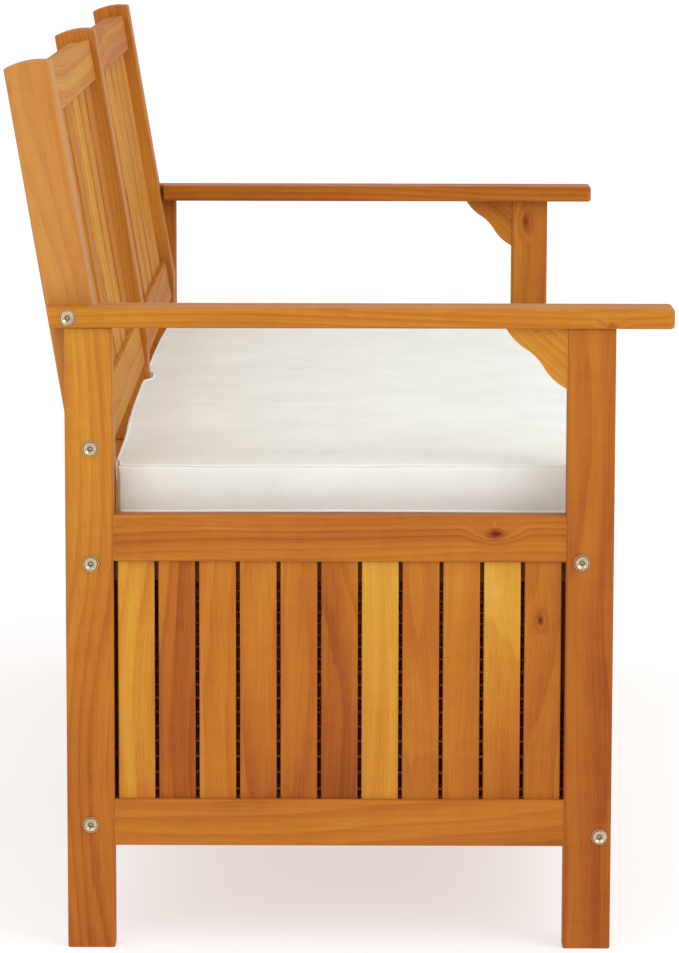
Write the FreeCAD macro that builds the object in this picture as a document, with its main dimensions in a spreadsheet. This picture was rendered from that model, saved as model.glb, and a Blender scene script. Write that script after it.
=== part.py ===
"""Garden storage bench: slatted box, hinged seat lid, leaning back, armrests and a loose seat cushion.

Millimetres, +Z up. The origin is under the middle of the bench at ground level, the front faces -Y and
the long way is X. Depths are counted forwards from the rear face of the rear legs.
"""
import FreeCAD, Part
import math
import os
import re

import Sketcher

SIZES = {
    # The whole bench
    "overall_length": 1480,
    "overall_depth": 625,
    "back_overhang": 56,
    "edge_round": 2,
    "slat_round": 1.5,
    # Legs and armrests
    "leg_thick": 25,
    "leg_depth": 45,
    "leg_round": 3,
    "leg_end_round": 1.5,
    "front_leg_start": 470,
    "arm_overhang": 5,
    "arm_width": 50,
    "arm_thick": 19,
    "arm_underside": 593,
    "arm_notch_end": 30.4,
    "arm_rear_inset": 3.3,
    "arm_round": 3,
    "arm_corner_round": 6,
    # Corner brackets: two convex lobes with a hollow between them
    "bracket_reach": 58,
    "bracket_drop": 57.5,
    "bracket_thick": 20,
    "bracket_top_lobe_end": 38,
    "bracket_top_lobe_drop": 20.3,
    "bracket_low_lobe_end": 23.5,
    "bracket_low_lobe_drop": 35,
    "bracket_lobe_radius": 55,
    "bracket_hollow_radius": 50,
    # Back posts
    "post_width": 45,
    "post_depth": 44,
    "post_bend": 500,
    "post_top": 831,
    "crown_radius": 72,
    # Back rails and slats, placed in the plane of the leaning back
    "back_rail_thick": 24,
    "back_rail_inset": 7,
    "back_top_rail_low": 282,
    "back_top_rail_tall": 44,
    "back_low_rail_low": -33,
    "back_low_rail_tall": 47,
    "back_slat_count": 6,
    "back_slat_width": 72,
    # Long rails under the seat
    "seat_rail_top": 388,
    "seat_rail_tall": 38,
    "rear_rail_depth": 45,
    "front_rail_start": 471,
    "front_rail_depth": 40,
    "low_rail_depth": 24,
    "low_rail_tall": 40,
    "rear_low_start": 10.5,
    "rear_low_bottom": 100,
    "front_low_start": 489,
    "front_low_bottom": 94,
    "stile_width": 45,
    # Slats and the grooves that hold them
    "slat_thick": 12,
    "groove_deep": 8,
    "groove_play": 0.4,
    "end_slat_count": 11,
    "end_slat_width": 34.6,
    "long_slat_count": 17,
    "long_slat_gap": 4,
    # End rails
    "end_rail_thick": 20,
    "end_rail_inset": 2,
    "end_top_bottom": 372,
    "end_top_tall": 44,
    "end_low_bottom": 99,
    "end_low_tall": 45,
    # Floor
    "floor_bearer_size": 20,
    "floor_bearer_length": 1418,
    "floor_slat_count": 19,
    "floor_slat_width": 60,
    "floor_span": 1392,
    "floor_slat_play": 1.5,
    # Seat and lid
    "bearer_width": 40,
    "seat_board": 18,
    "seat_length": 1418,
    "rear_seat_slat_start": 47,
    "rear_seat_slat_end": 105.9,
    "end_strip_width": 23.5,
    "lid_length": 1366,
    "lid_start": 112.1,
    "lid_end": 513,
    "lid_slat_count": 6,
    "lid_slat_gap": 6,
    "batten_width": 45,
    "batten_thick": 20,
    "batten_start": 117,
    "batten_end": 466,
    "batten_outer": 600,
    "batten_inner": 200,
    # Hinges: the axis lies level with the top of the seat boards
    "hinge_depth": 109,
    "hinge_spacing": 480,
    "hinge_length": 60,
    "knuckle_count": 5,
    "knuckle_play": 0.3,
    "barrel_radius": 3,
    "pin_radius": 1.6,
    "pin_play": 0.05,
    "leaf_thick": 1.2,
    "leaf_bottom": 389,
    "leaf_shoulder": 402.4,
    "leaf_screw_height": 395,
    "leaf_screw_spacing": 21,
    # Fasteners
    "post_bolt_height": 479,
    "rear_bolt_forward": 1.5,
    "rear_bolt_drop": 18,
    "rear_low_bolt_rise": 19.5,
    "front_bolt_in": 15,
    "front_bolt_drop": 16,
    "front_low_bolt_in": 34,
    "front_low_bolt_rise": 15,
    "arm_bolt_in": 4,
    "bolt_radius": 3,
    "bolt_length": 66,
    "bolt_head_radius": 7.5,
    "bolt_head_thick": 2.8,
    "bolt_head_rim": 1.2,
    "bolt_dome_radius": 5.8,
    "bolt_dome_foot": 6.9,
    "bolt_dish_radius": 5.2,
    "bolt_dish_foot": 3.1,
    "bolt_dish_deep": 1.2,
    "socket_width": 5,
    "socket_deep": 2.4,
    "bolt_play": 0.3,
    "nut_radius": 5,
    "nut_length": 14,
    "nut_setback": 60,
    "nut_hole_deep": 25,
    "dowel_radius": 4,
    "dowel_length": 28,
    "dowel_round": 1,
    "end_low_dowel_low": 11,
    "end_low_dowel_high": 27,
    "end_top_dowel_low": 16,
    "end_top_dowel_high": 34,
    "back_low_dowel_low": 18,
    "back_low_dowel_high": 33,
    "back_top_dowel_low": 16,
    "back_top_dowel_high": 32,
    "post_dowel_rear": 12,
    "post_dowel_front": 34,
    "bearer_dowel_in": 12,
    "bearer_dowel_drop": 27,
    "hole_play": 0.1,
    "screw_radius": 1.7,
    "screw_length": 26,
    "screw_head_radius": 3.4,
    "screw_head_thick": 2,
    "screw_slot_wide": 0.9,
    "screw_slot_deep": 0.6,
    "seat_screw_in": 14,
    "seat_screw_forward": 27,
    "seat_screw_middle": 16,
    "strip_screw_rear": 160,
    "strip_screw_front": 420,
    "lid_screw_end": 8,
    "leaf_screw_length": 15,
    "leaf_screw_head_thick": 1.2,
    # How far a cutting tool runs past the face it cuts, and how far two pieces of one leaf overlap
    "overcut": 0.5,
    "overlap": 0.01,
    # Cushion
    "cushion_length": 1374,
    "cushion_start": 45.5,
    "cushion_end": 511,
    "cushion_bottom": 409.5,
    "cushion_thick": 50,
    "cushion_round": 12,
}

# Shared places, as formulas on the sizes above
REAR_Y = "(overall_depth / 2 - back_overhang)"
LEG_OUT = "(overall_length / 2 - arm_overhang)"
LEG_IN = "(overall_length / 2 - arm_overhang - leg_thick)"
POST_IN = "(overall_length / 2 - arm_overhang - leg_thick - post_width)"
SEAT_TOP = "(seat_rail_top + seat_board)"
LEAN = "atan(back_overhang / (post_top - post_bend))"
RAIL_PLANE = "(post_depth * cos(%s) - back_rail_inset - back_rail_thick)" % LEAN
END_RAIL_X = "(-%s + end_rail_inset)" % LEG_OUT
LID_PITCH = "((lid_end - lid_start + lid_slat_gap) / lid_slat_count)"
BATTEN_UNDERSIDE = "(seat_rail_top - batten_thick)"
BEARER_DOWEL_Z = "seat_rail_top - bearer_dowel_drop"
POST_DOWELS = ("post_dowel_rear", "post_dowel_front")

ALONG_X = FreeCAD.Rotation(FreeCAD.Vector(0, 1, 0), 90)
ALONG_Y = FreeCAD.Rotation(FreeCAD.Vector(1, 0, 0), -90)
TOWARDS_REAR = ALONG_Y
TOWARDS_FRONT = FreeCAD.Rotation(FreeCAD.Vector(1, 0, 0), 90)
UPRIGHT = FreeCAD.Rotation()
UPSIDE_DOWN = FreeCAD.Rotation(FreeCAD.Vector(1, 0, 0), 180)
AXES = {"x": FreeCAD.Vector(1, 0, 0), "y": FreeCAD.Vector(0, 1, 0), "z": FreeCAD.Vector(0, 0, 1)}

doc = FreeCAD.newDocument("garden_storage_bench")
sheet = doc.addObject("Spreadsheet::Sheet", "sizes")
nodes = []


def fill_sheet():
    """Put each size in its own row, with its name beside it as the alias."""
    for row, (name, size) in enumerate(SIZES.items(), start=1):
        sheet.set("A%d" % row, name)
        sheet.set("B%d" % row, str(size))
        sheet.setAlias("B%d" % row, name)
    doc.recompute()


def formula(text):
    """Write a formula on size names in the form that the document reads."""
    return re.sub(r"[a-z_]+", lambda word: "sizes." + word[0] if word[0] in SIZES else word[0], str(text))


def value(text):
    result = sheet.evalExpression(formula(text))
    return float(getattr(result, "Value", result))


def bind(thing, **sizes):
    for name, text in sizes.items():
        thing.setExpression(name, formula(text))


def place(thing, x, depth, z, turn=UPRIGHT):
    """Stand a thing's own origin at x, a depth forwards of the rear legs' rear face, and a height."""
    thing.Placement = FreeCAD.Placement(FreeCAD.Vector(), turn)
    thing.setExpression("Placement.Base.x", formula(x))
    thing.setExpression("Placement.Base.y", formula("%s - (%s)" % (REAR_Y, depth)))
    thing.setExpression("Placement.Base.z", formula(z))
    return thing


def lean(thing, x, along):
    """Set a piece of the back in its leaning plane, a distance up from the bend of the posts."""
    depth, height = lean_place(along, "0")
    place(thing, x, depth, height, FreeCAD.Rotation(FreeCAD.Vector(-1, 0, 0), value(LEAN)))
    thing.setExpression("Placement.Rotation.Angle", formula(LEAN))
    return thing


def shift(feature, x=0, y=0, z=0, turn=UPRIGHT):
    """Move a primitive inside its own body."""
    feature.Placement = FreeCAD.Placement(FreeCAD.Vector(), turn)
    feature.setExpression("Placement.Base.x", formula(x))
    feature.setExpression("Placement.Base.y", formula(y))
    feature.setExpression("Placement.Base.z", formula(z))


def new_body(name):
    body = doc.addObject("PartDesign::Body", name)
    body.Label = name
    return body


def keep(thing, label):
    """List a finished object as a sub-part."""
    thing.Label = label
    nodes.append(thing)
    return thing


def origin_plane(body, role):
    return [plane for plane in body.Origin.OriginFeatures if plane.Role == role][0]


def edges_along(shape, direction):
    found = []
    for number, edge in enumerate(shape.Edges, start=1):
        straight = edge.Curve.TypeId == "Part::GeomLine"
        if straight and abs(edge.tangentAt(edge.FirstParameter).dot(direction)) > 0.999:
            found.append("Edge%d" % number)
    return found


def edges_on_faces(shape, axis, straight_only=False):
    """Find the outlines of the two flat ends that face along an axis."""
    box = shape.BoundBox
    low, high = {"x": (box.XMin, box.XMax), "y": (box.YMin, box.YMax), "z": (box.ZMin, box.ZMax)}[axis]
    found = []
    for number, edge in enumerate(shape.Edges, start=1):
        middle = edge.valueAt((edge.FirstParameter + edge.LastParameter) / 2).dot(AXES[axis])
        flat = abs(edge.BoundBox.Center.dot(AXES[axis]) - middle) < 0.01
        wanted = edge.Curve.TypeId == "Part::GeomLine" or not straight_only
        if wanted and flat and min(abs(middle - low), abs(middle - high)) < 0.01:
            found.append("Edge%d" % number)
    return found


def ease(body, edges, radius):
    """Round some edges of the body's tip."""
    base = body.Tip
    rounded = body.newObject("PartDesign::Fillet", body.Label + "_ease")
    rounded.Base = (base, edges)
    bind(rounded, Radius=radius)
    doc.recompute()
    return rounded


def add_box(body, size_x, size_y, size_z, x=0, y=0, z=0, cut=False):
    kind = "PartDesign::SubtractiveBox" if cut else "PartDesign::AdditiveBox"
    box = body.newObject(kind, body.Label + ("_cut" if cut else "_box"))
    bind(box, Length=size_x, Width=size_y, Height=size_z)
    shift(box, x, y, z)
    return box


def add_cylinder(body, radius, height, x=0, y=0, z=0, turn=UPRIGHT, cut=False):
    kind = "PartDesign::SubtractiveCylinder" if cut else "PartDesign::AdditiveCylinder"
    cylinder = body.newObject(kind, body.Label + ("_hole" if cut else "_round"))
    bind(cylinder, Radius=radius, Height=height)
    shift(cylinder, x, y, z, turn)
    return cylinder


def timber(name, size_x, size_depth, size_z, grain, groove=None, across="0", radius="edge_round"):
    """Make a straight timber with eased long edges, reaching right, forwards and up from its origin.

    grain names the axis it runs along. groove is the groove's distance from the timber's left or rear
    side, and "top" or "bottom". across carries the timber that much forwards of its origin.
    """
    body = new_body(name)
    rear = "-(%s) - (%s)" % (across, size_depth)
    add_box(body, size_x, size_depth, size_z, 0, rear)
    doc.recompute()
    ease(body, edges_along(body.Shape, AXES[grain]), radius)
    if groove:
        start, side = groove
        wide = "slat_thick + groove_play"
        low = "(%s) - groove_deep" % size_z if side == "top" else "0"
        if grain == "x":
            groove_rear = "-(%s) - (%s) - (%s)" % (across, start, wide)
            add_box(body, size_x, wide, "groove_deep", 0, groove_rear, low, True)
        else:
            add_box(body, wide, size_depth, "groove_deep", start, rear, low, True)
        doc.recompute()
    return body


def group(name, things):
    compound = doc.addObject("Part::Compound", name)
    compound.Label = name
    compound.Links = things
    return compound


def link_to(master, name):
    link = doc.addObject("App::Link", name)
    link.LinkedObject = master
    return link


def copies(name, master, places):
    """Set copies of one piece at several places, as one group of separate solids."""
    return group(name, [place(link_to(master, name + "_copy"), *spot) for spot in places])


def mirrored(name, source):
    """The same piece on the other side of the bench's middle."""
    mirror = doc.addObject("Part::Mirroring", name)
    mirror.Label = name
    mirror.Source = source
    mirror.Normal = FreeCAD.Vector(1, 0, 0)
    return mirror


def both_sides(name, left, middle=None):
    """Join a left group, its mirror image and whatever stands in the middle."""
    things = [left, mirrored(name + "_mirror", left)]
    return group(name, things + ([middle] if middle else []))


def profile(body, name, corners, arcs):
    """Draw a closed outline in the YZ plane through corners, each fixed by two formulas.

    arcs maps a side's number to its radius formula and to which way it bulges: 1 to the left of its
    direction of travel, -1 to the right.
    """
    sketch = body.newObject("Sketcher::SketchObject", name)
    sketch.AttachmentSupport = (origin_plane(body, "YZ_Plane"), [""])
    sketch.MapMode = "FlatFace"
    points = [FreeCAD.Vector(value(across), value(up), 0) for across, up in corners]
    ends = []
    for side, start in enumerate(points):
        end = points[(side + 1) % len(points)]
        if side in arcs:
            number = sketch.addGeometry(arc_between(start, end, *arcs[side]), False)
            first = 1 if sketch.getPoint(number, 1).distanceToPoint(start) < 0.001 else 2
        else:
            number = sketch.addGeometry(Part.LineSegment(start, end), False)
            first = 1
        ends.append((number, first, 3 - first))
    for side, (number, first, last) in enumerate(ends):
        next_number, next_first, next_last = ends[(side + 1) % len(ends)]
        sketch.addConstraint(Sketcher.Constraint("Coincident", number, last, next_number, next_first))
    for side, (number, first, last) in enumerate(ends):
        for kind, text in zip(("DistanceX", "DistanceY"), corners[side]):
            index = sketch.addConstraint(Sketcher.Constraint(kind, -1, 1, number, first, value(text)))
            sketch.setExpression("Constraints[%d]" % index, formula(text))
        if side in arcs:
            radius = arcs[side][0]
            index = sketch.addConstraint(Sketcher.Constraint("Radius", number, value(radius)))
            sketch.setExpression("Constraints[%d]" % index, formula(radius))
    doc.recompute()
    return sketch


def arc_between(start, end, radius_formula, bulge):
    radius = value(radius_formula)
    chord = end - start
    rise = radius - math.sqrt(radius ** 2 - (chord.Length / 2) ** 2)
    left = FreeCAD.Vector(-chord.y, chord.x, 0).normalize()
    return Part.Arc(start, (start + end) * 0.5 + left * (rise * bulge), end)


def pad(body, sketch, length):
    extrusion = body.newObject("PartDesign::Pad", body.Label + "_pad")
    extrusion.Profile = sketch
    bind(extrusion, Length=length)
    doc.recompute()
    return extrusion


def lean_place(along, across):
    """Depth and height of a point of the leaning back: up from the bend, and forwards of the posts' rear."""
    depth = "(%s) * cos(%s) - (%s) * sin(%s)" % (across, LEAN, along, LEAN)
    height = "post_bend + (%s) * sin(%s) + (%s) * cos(%s)" % (across, LEAN, along, LEAN)
    return depth, height


# ---------------------------------------------------------------- places of the fasteners

def bolt_places():
    """Where each bolt head bears on the left end."""
    spots = [
        ("leg_depth / 2 + rear_bolt_forward", "post_bolt_height"),
        ("leg_depth / 2 + rear_bolt_forward", "seat_rail_top - rear_bolt_drop"),
        ("leg_depth / 2", "rear_low_bottom + rear_low_bolt_rise"),
        ("front_leg_start + front_bolt_in", "seat_rail_top - front_bolt_drop"),
        ("front_leg_start + front_low_bolt_in", "front_low_bottom + front_low_bolt_rise"),
    ]
    places = [("-%s" % LEG_OUT, depth, z, ALONG_X) for depth, z in spots]
    return places + [("-overall_length / 2", "arm_bolt_in", "arm_underside + arm_thick / 2", ALONG_X)]


def nut_places():
    """Each barrel nut's hole opens on the inner face of its timber."""
    places = []
    for x, depth, z, turn in bolt_places():
        inwards = TOWARDS_REAR if depth.startswith("front") else TOWARDS_FRONT
        places.append(("%s + nut_setback" % x, depth, z, inwards))
    return places


def dowel_places_left():
    rail_x = "%s + end_rail_thick / 2" % END_RAIL_X
    places = []
    for z in ("end_low_bottom + end_low_dowel_low", "end_low_bottom + end_low_dowel_high",
              "end_top_bottom + end_top_dowel_low", "end_top_bottom + end_top_dowel_high"):
        places.append((rail_x, "leg_depth", z, ALONG_Y))
        places.append((rail_x, "front_leg_start", z, ALONG_Y))
    leg_x = "-%s - leg_thick / 2" % LEG_IN
    places.append((leg_x, "leg_depth / 2", "arm_underside", UPRIGHT))
    places.append((leg_x, "front_leg_start + leg_depth / 2", "arm_underside", UPRIGHT))
    places += [("-%s - post_width / 2" % POST_IN, depth, "seat_rail_top", UPRIGHT) for depth in POST_DOWELS]
    for along in ("back_low_rail_low + back_low_dowel_low", "back_low_rail_low + back_low_dowel_high",
                  "back_top_rail_low + back_top_dowel_low", "back_top_rail_low + back_top_dowel_high"):
        depth, height = lean_place(along, "%s + back_rail_thick / 2" % RAIL_PLANE)
        for x in ("-%s" % POST_IN, "-post_width / 2"):
            places.append((x, depth, height, ALONG_X))
    for depth in ("rear_rail_depth", "front_rail_start"):
        places.append(("-%s + bearer_dowel_in" % LEG_IN, depth, BEARER_DOWEL_Z, ALONG_Y))
    return places


def dowel_places_middle():
    feet = [("0", depth, "seat_rail_top", UPRIGHT) for depth in POST_DOWELS]
    bearer = [("0", depth, BEARER_DOWEL_Z, ALONG_Y) for depth in ("rear_rail_depth", "front_rail_start")]
    return feet + bearer


def lid_slat_start(number):
    return "(lid_start + %d * %s)" % (number, LID_PITCH)


def lid_screw_places(sunk="0"):
    """Screws driven up through the two left battens into each lid slat."""
    places = []
    for x in ("-batten_outer", "-batten_inner"):
        for number in range(SIZES["lid_slat_count"] - 1):
            depth = "%s + (%s - lid_slat_gap) / 2" % (lid_slat_start(number), LID_PITCH)
            places.append((x, depth, "%s + (%s)" % (BATTEN_UNDERSIDE, sunk), UPRIGHT))
        places.append((x, "batten_end - lid_screw_end", "%s + (%s)" % (BATTEN_UNDERSIDE, sunk), UPRIGHT))
    return places


def seat_screw_places(sunk="0"):
    """Screws driven down through the fixed seat boards into the left bearer."""
    strip_x = "-seat_length / 2 + end_strip_width / 2"
    height = "%s - (%s)" % (SEAT_TOP, sunk)
    return [
        ("-%s + seat_screw_in" % LEG_IN, "rear_seat_slat_start + seat_screw_forward", height, UPSIDE_DOWN),
        (strip_x, "strip_screw_rear", height, UPSIDE_DOWN),
        (strip_x, "strip_screw_front", height, UPSIDE_DOWN),
    ]


def seat_screw_middle(sunk="0"):
    depth = "rear_seat_slat_start + seat_screw_middle"
    return [("0", depth, "%s - (%s)" % (SEAT_TOP, sunk), UPSIDE_DOWN)]


def leaf_screw_places(hinge_x, side):
    """Three screws in a row in each leaf, driven into the edge of the fixed slat or of the lid."""
    if side == "fixed":
        depth, turn = "rear_seat_slat_end + leaf_thick", TOWARDS_REAR
    else:
        depth, turn = "lid_start - leaf_thick", TOWARDS_FRONT
    offsets = ("- leaf_screw_spacing", "", "+ leaf_screw_spacing")
    return [("%s %s" % (hinge_x, offset), depth, "leaf_screw_height", turn) for offset in offsets]


# ---------------------------------------------------------------- fasteners and their holes

def make_bolt():
    """A connector bolt along +Z with the underside of its head at the origin."""
    body = new_body("bolt_master")
    add_cylinder(body, "bolt_head_radius", "bolt_head_rim", 0, 0, "-bolt_head_rim")
    dome = body.newObject("PartDesign::AdditiveCone", "bolt_dome")
    bind(dome, Radius1="bolt_dome_radius", Radius2="bolt_dome_foot")
    bind(dome, Height="bolt_head_thick - bolt_head_rim")
    shift(dome, 0, 0, "-bolt_head_thick")
    dish = body.newObject("PartDesign::SubtractiveCone", "bolt_dish")
    bind(dish, Radius1="bolt_dish_radius", Radius2="bolt_dish_foot", Height="bolt_dish_deep")
    shift(dish, 0, 0, "-bolt_head_thick")
    add_cylinder(body, "bolt_radius", "bolt_length")
    socket = body.newObject("PartDesign::SubtractivePrism", "bolt_socket")
    socket.Polygon = 6
    bind(socket, Circumradius="socket_width / sqrt(3)", Height="socket_deep")
    shift(socket, 0, 0, "-bolt_head_thick")
    doc.recompute()
    return body


def make_nut():
    """A barrel nut lying along Z, with its cross hole along Y."""
    body = new_body("nut_master")
    add_cylinder(body, "nut_radius", "nut_length", 0, 0, "-nut_length / 2")
    hole = "bolt_radius + pin_play"
    add_cylinder(body, hole, "3 * nut_radius", 0, "-1.5 * nut_radius", 0, ALONG_Y, cut=True)
    add_cylinder(body, hole, "3 * nut_radius", "-1.5 * nut_radius", 0, 0, ALONG_X, cut=True)
    doc.recompute()
    return body


def make_dowel():
    body = new_body("dowel_master")
    add_cylinder(body, "dowel_radius", "dowel_length", 0, 0, "-dowel_length / 2")
    doc.recompute()
    ease(body, edges_on_faces(body.Shape, "z"), "dowel_round")
    return body


def make_screw(name, length, head_thick):
    """A screw along +Z with the underside of its flat head at the origin and a drive slot across it."""
    body = new_body(name)
    add_cylinder(body, "screw_radius", length)
    add_cylinder(body, "screw_head_radius", head_thick, 0, 0, "-%s" % head_thick)
    add_box(body, "2 * screw_head_radius", "screw_slot_wide", "screw_slot_deep", "-screw_head_radius",
            "-screw_slot_wide / 2", "-%s" % head_thick, True)
    doc.recompute()
    return body


def hole_path(name, radius, length, start="0"):
    """A plain cylinder along +Z that stands for the path of a drill."""
    body = new_body(name)
    add_cylinder(body, radius, length, 0, 0, start)
    doc.recompute()
    return body


def fuse(name, things):
    fused = doc.addObject("Part::MultiFuse", name)
    fused.Shapes = things
    fused.Refine = False
    doc.recompute()
    return fused


def drill_paths():
    """The holes of the frame's joints, those of the bearers alone, and those of the seat boards."""
    bolt = hole_path("bolt_path", "bolt_radius + bolt_play", "bolt_length + 2 * overcut")
    nut = hole_path("nut_path", "nut_radius + hole_play", "nut_length / 2 + nut_hole_deep",
                    "-nut_length / 2 - overcut")
    dowel = hole_path("dowel_path", "dowel_radius + hole_play", "dowel_length + 2 * overcut",
                      "-dowel_length / 2 - overcut")
    screw = hole_path("screw_path", "screw_radius + hole_play", "screw_length + overcut")
    sink = hole_path("sink_path", "screw_head_radius + hole_play", "screw_head_thick + 2 * overcut",
                     "-overcut")
    leaf = hole_path("leaf_path", "screw_radius + hole_play", "leaf_screw_length + overcut")

    dowels = copies("dowel_paths", dowel, dowel_places_left())
    dowels_middle = copies("dowel_paths_middle", dowel, dowel_places_middle())
    pegs = both_sides("peg_paths", dowels, dowels_middle)
    bolts = both_sides("bolt_paths", copies("bolt_paths_left", bolt, bolt_places()))
    nuts = both_sides("nut_paths", copies("nut_paths_left", nut, nut_places()))
    sunk = "screw_head_thick"
    seat_left = copies("seat_paths_left", screw, seat_screw_places(sunk))
    seat = both_sides("seat_paths", seat_left, copies("seat_paths_middle", screw, seat_screw_middle(sunk)))
    sink_left = copies("sink_paths_left", sink, seat_screw_places() + lid_screw_places())
    sinks = both_sides("sink_paths", sink_left, copies("sink_paths_middle", sink, seat_screw_middle()))
    lid = both_sides("lid_paths", copies("lid_paths_left", screw, lid_screw_places(sunk)))
    leaves = []
    for side in ("fixed", "moving"):
        left = copies("leaf_paths_" + side, leaf, leaf_screw_places("-hinge_spacing", side))
        middle = copies("leaf_paths_middle_" + side, leaf, leaf_screw_places("0", side))
        leaves.append(both_sides("leaf_paths_all_" + side, left, middle))
    return {
        "frame": fuse("frame_paths", [pegs, bolts, nuts]),
        "bearer": fuse("bearer_paths", [pegs, seat]),
        "board": fuse("board_paths", [seat, sinks, lid] + leaves),
    }


def drilled(label, blank, holes):
    blank.Label = label + "_blank"
    cut = doc.addObject("Part::Cut", label)
    cut.Base = blank
    cut.Tool = holes
    return keep(cut, label)


def drilled_pair(label, blank, holes):
    """Keep a left piece and its mirror image on the right."""
    left = drilled(label + "_left", blank, holes)
    keep(mirrored(label + "_right", left), label + "_right")


# ---------------------------------------------------------------- ends

def make_legs(holes):
    for label, start in (("leg_rear", "0"), ("leg_front", "front_leg_start")):
        leg = timber(label, "leg_thick", "leg_depth", "arm_underside", "z", radius="leg_round")
        ease(leg, edges_on_faces(leg.Shape, "z"), "leg_end_round")
        drilled_pair(label, place(leg, "-%s" % LEG_OUT, start, "0"), holes)


def make_armrests(holes):
    """The rear end follows the lean of the post, and the inner rear corner is notched round it."""
    body = new_body("armrest")
    slope = "back_overhang / (post_top - post_bend)"
    rear_low = "((arm_underside - post_bend) * %s - arm_rear_inset)" % slope
    rear_high = "((arm_underside + arm_thick - post_bend) * %s - arm_rear_inset)" % slope
    tip = "-(overall_depth - back_overhang)"
    corners = [(rear_low, "0"), (rear_high, "arm_thick"), (tip, "arm_thick"), (tip, "0")]
    pad(body, profile(body, "armrest_side", corners, {}), "arm_width")
    ease(body, edges_along(body.Shape, AXES["z"]), "arm_corner_round")
    outline = []
    for number, edge in enumerate(body.Shape.Edges, start=1):
        if edge.BoundBox.ZLength < 0.01 and edge.BoundBox.YMin < 0:
            outline.append("Edge%d" % number)
    ease(body, outline, "arm_round")
    notch_wide = "arm_width - arm_overhang - leg_thick"
    notch_start = "arm_width - (%s)" % notch_wide
    notch_long = "arm_notch_end + %s + overcut" % rear_high
    add_box(body, notch_wide, notch_long, "arm_thick + 2 * overcut", notch_start, "-arm_notch_end",
            "-overcut", cut=True)
    doc.recompute()
    drilled_pair("armrest", place(body, "-overall_length / 2", "0", "arm_underside"), holes)


def make_brackets():
    """A scroll-cut bracket under each armrest, behind the front leg."""
    body = new_body("armrest_bracket")
    corners = [
        ("0", "0"),
        ("bracket_reach", "0"),
        ("bracket_top_lobe_end", "-bracket_top_lobe_drop"),
        ("bracket_low_lobe_end", "-bracket_low_lobe_drop"),
        ("0", "-bracket_drop"),
    ]
    arcs = {1: ("bracket_lobe_radius", 1), 2: ("bracket_hollow_radius", -1), 3: ("bracket_lobe_radius", 1)}
    pad(body, profile(body, "bracket_side", corners, arcs), "bracket_thick")
    place(body, "-%s + (leg_thick - bracket_thick) / 2" % LEG_OUT, "front_leg_start", "arm_underside")
    keep(body, "armrest_bracket_left")
    keep(mirrored("armrest_bracket_right", body), "armrest_bracket_right")


def make_end_panels(holes):
    """Two grooved rails on each end, and the slats that stand in the grooves."""
    length = "(front_leg_start - leg_depth)"
    groove = "(end_rail_thick - slat_thick - groove_play) / 2"
    for label, low, tall, side in (
        ("end_top_rail", "end_top_bottom", "end_top_tall", "bottom"),
        ("end_bottom_rail", "end_low_bottom", "end_low_tall", "top"),
    ):
        rail = timber(label, "end_rail_thick", length, tall, "y", (groove, side))
        drilled_pair(label, place(rail, END_RAIL_X, "leg_depth", low), holes)
    foot = "(end_low_bottom + end_low_tall - groove_deep)"
    tall = "end_top_bottom + groove_deep - %s" % foot
    slat = timber("end_slat", "slat_thick", "end_slat_width", tall, "z", radius="slat_round")
    gap = "((%s - end_slat_count * end_slat_width) / (end_slat_count + 1))" % length
    x = "%s + (end_rail_thick - slat_thick) / 2" % END_RAIL_X
    places = []
    for number in range(SIZES["end_slat_count"]):
        rear = "leg_depth + %s + %d * (end_slat_width + %s)" % (gap, number, gap)
        places.append((x, rear, foot, UPRIGHT))
    slats = keep(copies("end_slats", slat, places), "end_slats_left")
    keep(mirrored("end_slats_right", slats), "end_slats_right")


# ---------------------------------------------------------------- back

def post_blank(name):
    """Upright at the foot, leaning above the bend, with a crowned top."""
    body = new_body(name)
    top_depth = "post_depth * cos(%s)" % LEAN
    corners = [
        ("0", "0"),
        ("-post_depth", "0"),
        ("-post_depth", "post_bend - seat_rail_top"),
        ("back_overhang - %s * cos(%s)" % (top_depth, LEAN),
         "post_top - seat_rail_top + %s * sin(%s)" % (top_depth, LEAN)),
        ("back_overhang", "post_top - seat_rail_top"),
        ("0", "post_bend - seat_rail_top"),
    ]
    pad(body, profile(body, "post_side", corners, {3: ("crown_radius", 1)}), "post_width")
    ease(body, edges_on_faces(body.Shape, "x", straight_only=True), "edge_round")
    return body


def make_posts(holes):
    middle = place(post_blank("post_middle"), "-post_width / 2", "0", "seat_rail_top")
    drilled("back_post_middle", middle, holes)
    end = place(post_blank("post_end"), "-%s - post_width" % POST_IN, "0", "seat_rail_top")
    drilled_pair("back_post", end, holes)


def make_back_panels(holes):
    """Each bay has a top rail and a lower rail, grooved for the slats between them."""
    length = "(%s - post_width / 2)" % POST_IN
    groove = "(back_rail_thick - slat_thick - groove_play) / 2"
    for label, low, tall, side in (
        ("back_top_rail", "back_top_rail_low", "back_top_rail_tall", "bottom"),
        ("back_lower_rail", "back_low_rail_low", "back_low_rail_tall", "top"),
    ):
        rail = timber(label, length, "back_rail_thick", tall, "x", (groove, side), RAIL_PLANE)
        drilled_pair(label, lean(rail, "-%s" % POST_IN, low), holes)
    foot = "(back_low_rail_low + back_low_rail_tall - groove_deep)"
    tall = "back_top_rail_low + groove_deep - %s" % foot
    across = "%s + (back_rail_thick - slat_thick) / 2" % RAIL_PLANE
    slat = timber("back_slat", "back_slat_width", "slat_thick", tall, "z", None, across, "slat_round")
    gap = "((%s - back_slat_count * back_slat_width) / (back_slat_count + 1))" % length
    links = []
    for number in range(SIZES["back_slat_count"]):
        x = "-%s + %s + %d * (back_slat_width + %s)" % (POST_IN, gap, number, gap)
        links.append(lean(link_to(slat, "back_slat_copy"), x, foot))
    slats = keep(group("back_slats", links), "back_slats_left")
    keep(mirrored("back_slats_right", slats), "back_slats_right")


# ---------------------------------------------------------------- box

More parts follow.
